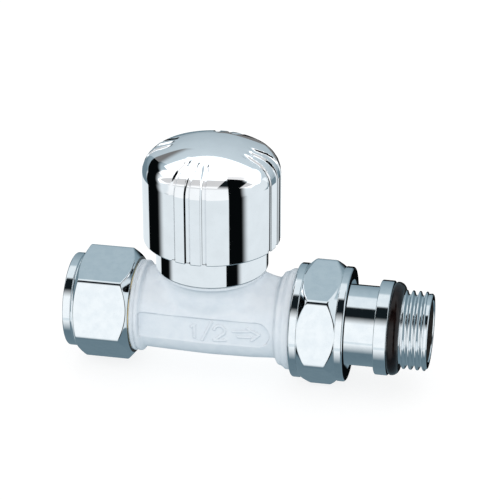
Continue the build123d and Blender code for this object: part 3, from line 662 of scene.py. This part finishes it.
for obj, body, node, slot_name in (
        (casting, "valve", "valve_body", "lacquer"), (marks, "valve", "valve_body", "lacquer"),
        (inlet_stub, "valve", "valve_body", "brass"), (outlet_stub, "valve", "valve_body", "brass"),
        (collar, "valve", "cover_collar", "cap_chrome"), (cap, "cap", "cap_shell", "cap_chrome"),
        (compression_nut, "compression_nut", "compression_nut", "chrome"),
        (union_nut, "union_nut", "union_nut", "chrome"), (tailpiece, "tail", "tailpiece", "chrome"),
        (tail_ring, "tail", "tail_oring", "ring_rubber")):
    dress(obj, slot_name)
    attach(obj, body)
    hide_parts(node)
# The near-black tube that paints the shade inside the tail's bore.
bore_shade_tube.data.materials.append(painted_bore_shade)
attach(bore_shade_tube, "tail")
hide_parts("tailpiece")

for obj in (casting, marks, inlet_stub, outlet_stub, compression_nut, union_nut, tailpiece, bore_shade_tube,
            tail_ring):
    obj.visible_glossy = False

plain_nodes = {
    "bonnet": "brass", "bonnet_oring": "seal_rubber", "packing_ring": "ptfe", "spindle_oring": "seal_rubber",
    "gland_nut": "brass", "spindle": "brass", "seat_washer": "seal_rubber", "plug": "brass",
    "washer_screw": "steel", "cap_grip_ring": "seal_rubber", "cap_insert": "insert_plastic",
    "cap_screw": "steel", "cone_seal": "seal_rubber", "split_olive": "brass", "union_oring": "seal_rubber"}
for node, slot_name in plain_nodes.items():
    dress(frame["nodes"][node], slot_name)
    frame["nodes"][node].visible_glossy = False


# ------------------------------------------------------------------ light and view
def srgb(r, g, b):
    """Linear light of a colour given as 0-255 display values."""
    return [((v / 255 + 0.055) / 1.055) ** 2.4 if v > 10.3 else v / 255 / 12.92 for v in (r, g, b)]


deg = math.radians(1)
world = bpy.data.worlds.new("studio")
bpy.context.scene.world = world
world.use_nodes = True
tree = world.node_tree
tree.nodes.clear()
direction = add(tree, "ShaderNodeTexCoord").outputs["Generated"]
dx, dy, dz = add(tree, "ShaderNodeSeparateXYZ", Vector=direction).outputs
front = math_node(tree, "MULTIPLY", dy, -1.0)
arc = math_node(tree, "ARCTAN2", dz, front)  # 0 in front, 90 degrees overhead, 180 behind
turn = math_node(tree, "ADD", math_node(tree, "DIVIDE", arc, 2 * math.pi), 0.5)
behind = math_node(tree, "ARCTAN2", front, math_node(tree, "MULTIPLY", dx, -1.0))


def shade(brightness):
    """Display colour of a studio surface: a little blue, except where it is white or black."""
    blue = 4 * brightness * (1 - brightness)
    return 255 * brightness - 20 * blue, 255 * brightness, 255 * brightness + 10 * blue


def sky(stops):
    """Brightness along the arc from below, past the front and overhead, to behind."""
    ramp = add(tree, "ShaderNodeValToRGB", Fac=turn)
    band = ramp.color_ramp
    while len(band.elements) > 1:
        band.elements.remove(band.elements[-1])
    for k, (angle, brightness) in enumerate(stops):
        place = (angle + 180) / 360
        element = band.elements[0] if k == 0 else band.elements.new(place)
        element.position = place
        element.color = (*srgb(*shade(brightness)), 1)
    return ramp.outputs[0]


def product(first, second):
    return math_node(tree, "MULTIPLY", first, second)


def between(value, low, high, soft_low, soft_high):
    """1 between low and high, and 0 outside, with soft edges."""
    return math_node(tree, "MULTIPLY", spread(tree, value, 0, 1, low - soft_low, low + soft_low),
                     spread(tree, value, 1, 0, high - soft_high, high + soft_high))


def blend(share, first, second):
    """first where share is 0, second where it is 1; each is a socket or a display colour."""
    made = add(tree, "ShaderNodeMix", {"data_type": "RGBA"}, _0=share)
    for socket, colour in ((made.inputs[6], first), (made.inputs[7], second)):
        if isinstance(colour, bpy.types.NodeSocket):
            tree.links.new(colour, socket)
        else:
            socket.default_value = (*srgb(*colour), 1)
    return made.outputs[2]


white_card, pale_wall, black_cloth = 0.95, 0.88, 0.03
cards = sky([
    (-180, 0.5), (-60, 0.45), (-30, white_card), (30, white_card), (50, 0.1), (75, 0.1), (80, 0.9),
    (112, 0.9), (118, 0.72), (180, 0.55)])
wide = spread(tree, math_node(tree, "ABSOLUTE", dx), 0, 1, 0.84, 0.9)
level = math_node(tree, "LESS_THAN", dz, -0.385)
surround = product(between(dz, -0.49, 0.3, 0.02, 0.04), math_node(tree, "MAXIMUM", level, wide))
lit = blend(surround, cards, shade(pale_wall))

# Two black flags, which draw the dark stripes on the cap
right_edge = math_node(tree, "ADD", dx, product(dy, 0.471))
right_flag = product(between(right_edge, 0.265, 0.69, 0.01, 0.09), product(
    spread(tree, arc, 1, 0, 94 * deg, 103 * deg), spread(tree, dz, 0, 1, -0.62, -0.55)))
up = math_node(tree, "MAXIMUM", dz, 0.0)
near_edge = math_node(tree, "ADD", behind, product(up, 68 * deg))
far_edge = math_node(tree, "ADD", behind, product(up, 38 * deg))
left_width = product(spread(tree, near_edge, 0, 1, -28 * deg, -26 * deg),
                     spread(tree, far_edge, 1, 0, deg, 17 * deg))
left_height = product(spread(tree, dz, 1, 0, 0.5, 0.62), spread(tree, dz, 0, 1, -0.62, -0.55))
left_flag = product(left_width, left_height)
flags = math_node(tree, "MAXIMUM", right_flag, left_flag)
studio = add(tree, "ShaderNodeBackground", Color=blend(flags, lit, shade(black_cloth)), Strength=1.2)
height = spread(tree, dz, 0, 1, -0.9, 0.5)
soft = add(tree, "ShaderNodeBackground", Color=blend(height, shade(0.8), shade(1.0)), Strength=1.1)
white = add(tree, "ShaderNodeBackground", Color=(1, 1, 1, 1), Strength=1.0)
rays = add(tree, "ShaderNodeLightPath")
matte = add(tree, "ShaderNodeMixShader", Fac=rays.outputs["Is Diffuse Ray"])
both = add(tree, "ShaderNodeMixShader", Fac=rays.outputs["Is Camera Ray"])
for target_node, first, second in ((matte, studio, soft), (both, matte, white)):
    tree.links.new(first.outputs[0], target_node.inputs[1])
    tree.links.new(second.outputs[0], target_node.inputs[2])
tree.links.new(both.outputs[0], add(tree, "ShaderNodeOutputWorld").inputs["Surface"])

# Soft boxes in front, overhead and behind, that only the cap and its collar see. low and high are degrees
# along the arc, left and right are metres, and each box stands reach metres from the valve.
polished = bpy.data.collections.new("polished")
for obj in (cap, collar):
    polished.objects.link(obj)
reach = 1.5
for name, low, high, left, right, strength in (
        ("over", 84, 127, -1.15, 7.0, 0.95), ("side", 84, 112, -2.6, -1.15, 0.55),
        ("back", 127, 190, -1.15, 4.0, 0.2),
        ("fill", 38, 84, -7.0, 0.55, 0.7), ("fill_right", 38, 84, 2.2, 7.0, 0.7)):
    half = reach * math.tan(math.radians((high - low) / 2))
    tilt = math.radians((high + low) / 2)
    panel = bpy.data.lights.new(name, "AREA")
    panel.shape, panel.size, panel.size_y = "RECTANGLE", right - left, 2 * half
    panel.energy = strength * math.pi * panel.size * panel.size_y
    lamp = bpy.data.objects.new(name, panel)
    toward = Vector((0, -math.cos(tilt), math.sin(tilt)))
    lamp.location = toward * reach + Vector(((left + right) / 2, 0, 0.03))
    lamp.rotation_euler = toward.to_track_quat("Z", "Y").to_euler()
    lamp.visible_camera = False
    bpy.context.scene.collection.objects.link(lamp)
    lamp.light_linking.receiver_collection = polished

lowest = min(lo[2] for lo, hi in (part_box(n) for n in frame["nodes"]))
span = 4.0
floor_mesh = bpy.data.meshes.new("floor")
corners = [(-span, -span, 0), (span, -span, 0), (span, span, 0), (-span, span, 0)]
floor_mesh.from_pydata(corners, [], [(0, 1, 2, 3)])
floor = bpy.data.objects.new("floor", floor_mesh)
floor.location = (0, 0, lowest - 0.4 * MM)
bpy.context.scene.collection.objects.link(floor)
paper = bpy.data.materials.new("paper")
paper.use_nodes = True
tree = paper.node_tree
shader = tree.nodes["Principled BSDF"]
shader.inputs["Base Color"].default_value = (0.25, 0.25, 0.25, 1)
shader.inputs["Roughness"].default_value = 0.9
shader.inputs["Specular IOR Level"].default_value = 0.1
shader.inputs["Emission Color"].default_value = (1, 1, 1, 1)
shader.inputs["Emission Strength"].default_value = 0.8
floor_mesh.materials.append(paper)
floor.visible_glossy = False
floor.visible_diffuse = False

target = Vector((32.2, 0, 19.3)) * MM
azimuth, elevation, distance = math.radians(11.35), math.radians(26.3), 0.55
level_arm = math.cos(elevation)
arm = Vector((math.sin(azimuth) * level_arm, -math.cos(azimuth) * level_arm, math.sin(elevation)))
camera_data = bpy.data.cameras.new("camera")
camera = bpy.data.objects.new("camera", camera_data)
camera.location = target + arm * distance
camera.rotation_euler = (-arm).to_track_quat("-Z", "Y").to_euler()
camera_data.lens, camera_data.sensor_width = 150.3, 36.0
camera_data.clip_start, camera_data.clip_end = 0.01, 20.0
bpy.context.scene.collection.objects.link(camera)
bpy.context.scene.camera = camera
bpy.context.scene.view_settings.view_transform = "Standard"
